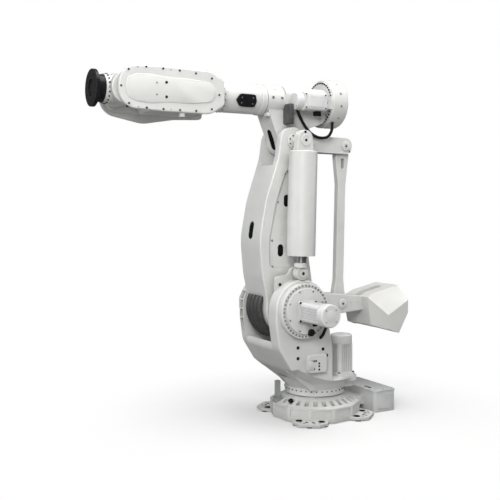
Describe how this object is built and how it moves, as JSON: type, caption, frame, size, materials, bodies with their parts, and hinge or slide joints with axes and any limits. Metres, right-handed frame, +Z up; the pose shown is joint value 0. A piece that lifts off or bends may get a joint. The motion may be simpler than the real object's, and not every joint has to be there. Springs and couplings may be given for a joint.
{
  "type": "industrial robot arm",
  "caption": "Floor-standing jointed robot arm with a parallelogram linkage, spring balancer, rear counterweight and a bolted tool flange.",
  "frame": {"origin": "on the main turning axis, on the floor under the levelling pads", "axes": "+X forward along the arm, +Y to the arm's left, +Z up"},
  "size_m": [3.535, 1.658, 3.6513],
  "materials": {
    "paint": "light warm grey machine paint, satin, on castings",
    "alu_paint": "light warm grey machine paint on cast aluminium housings",
    "iron_paint": "light warm grey machine paint on rough cast iron",
    "cable": "black cable sheath",
    "hose": "dark grey hose",
    "motor_paint": "light grey paint on ribbed motor housings",
    "sheet": "light grey powder coat on bent sheet",
    "grey_paint": "mid grey paint",
    "steel": "turned and ground pin steel",
    "dark_steel": "oiled dark piston steel",
    "black_steel": "blackened turning disc",
    "rubber": "black levelling pads",
    "grey_plastic": "dark grey moulded junction box",
    "black_plastic": "black moulded cover"
  },
  "bodies": {
    "base": {"base_casting": "paint", "levelling_pads": "rubber", "connector_box": "sheet", "connector_lid": "sheet", "cable_post": "grey_paint"},
    "frame": {"frame_casting": "paint", "gear_cover_left": "alu_paint", "gear_cover_right": "alu_paint", "motor_1": "motor_paint", "motor_2": "motor_paint", "motor_3": "motor_paint", "service_panel": "motor_paint", "balancer_lug": "paint", "balancer_low_pin": "paint", "shoulder_shaft": "steel", "motor_lead": "cable"},
    "lower_arm": {"lower_arm": "paint", "elbow_caps": "paint", "hub_hoses": "hose"},
    "elbow_carrier": {"elbow_pin": "steel"},
    "upper_arm": {"arm_house": "paint", "beam_pin": "steel", "rear_drum": "paint", "motor_4": "motor_paint", "junction_box": "grey_plastic", "elbow_cable": "cable"},
    "forearm": {"forearm_tube": "alu_paint", "tube_cover": "black_plastic", "wrist_housing": "alu_paint", "wrist_cover_left": "alu_paint", "wrist_cover_right": "alu_paint"},
    "tilt": {"tilt_housing": "alu_paint"},
    "disc": {"turning_disc": "black_steel"},
    "lever": {"lever": "paint", "counterweight": "iron_paint"},
    "rod_carrier": {"rod_pin": "steel"},
    "rod": {"parallel_rod": "paint"},
    "balancer_tube": {"balancer_tube": "paint", "balancer_top_eye": "paint"},
    "balancer_rod": {"balancer_piston": "dark_steel", "balancer_low_eye": "paint"}
  },
  "joints": [
    {"name": "axis_1", "type": "hinge", "parent": "base", "child": "frame", "pos_m": [0, 0, 0.254], "axis": [0, 0, 1], "range_deg": [-170, 170]},
    {"name": "axis_2", "type": "hinge", "parent": "frame", "child": "lower_arm", "pos_m": [0.445, 0, 1.2], "axis": [0, 1, 0], "range_deg": [-55, 70]},
    {"name": "elbow_level", "type": "hinge", "parent": "lower_arm", "child": "elbow_carrier", "pos_m": [0.39636, 0, 2.94132], "axis": [0, 1, 0], "range_deg": [-71, 56]},
    {"name": "elbow_turn", "type": "hinge", "parent": "elbow_carrier", "child": "upper_arm", "pos_m": [0.39636, 0, 2.94132], "axis": [0, 1, 0], "range_deg": [-21, 61]},
    {"name": "axis_4", "type": "hinge", "parent": "upper_arm", "child": "forearm", "pos_m": [0.687, 0, 3.37932], "axis": [1, 0, 0], "range_deg": [-300, 300]},
    {"name": "axis_5", "type": "hinge", "parent": "forearm", "child": "tilt", "pos_m": [2.24, 0, 3.37932], "axis": [0, 1, 0], "range_deg": [-100, 100]},
    {"name": "axis_6", "type": "hinge", "parent": "tilt", "child": "disc", "pos_m": [2.53, 0, 3.37932], "axis": [1, 0, 0], "range_deg": [-300, 300]},
    {"name": "axis_3", "type": "hinge", "parent": "frame", "child": "lever", "pos_m": [0.445, 0, 1.2], "axis": [0, 1, 0], "range_deg": [-20, 60]},
    {"name": "rod_level", "type": "hinge", "parent": "lever", "child": "rod_carrier", "pos_m": [-0.30689, 0, 1.18688], "axis": [0, 1, 0], "range_deg": [-61, 21]},
    {"name": "rod_turn", "type": "hinge", "parent": "rod_carrier", "child": "rod", "pos_m": [-0.30689, 0, 1.18688], "axis": [0, 1, 0], "range_deg": [-56, 71]},
    {"name": "balancer_top", "type": "hinge", "parent": "lower_arm", "child": "balancer_tube", "pos_m": [0.39636, 0.385, 2.94132], "axis": [0, 1, 0], "range_deg": [-11, 14]},
    {"name": "balancer_foot", "type": "hinge", "parent": "frame", "child": "balancer_rod", "pos_m": [0.43453, 0.385, 1.57485], "axis": [0, 1, 0], "range_deg": [-66, 84]}
  ],
  "couplings": [
    {"joint": "elbow_level", "follows": "axis_2", "ratio": -1},
    {"joint": "elbow_turn", "follows": "axis_3", "ratio": 1},
    {"joint": "rod_level", "follows": "axis_3", "ratio": -1},
    {"joint": "rod_turn", "follows": "axis_2", "ratio": 1},
    {"joint": "balancer_top", "follows": "axis_2", "ratio": 0.19},
    {"joint": "balancer_foot", "follows": "axis_2", "ratio": 1.19}
  ]
}
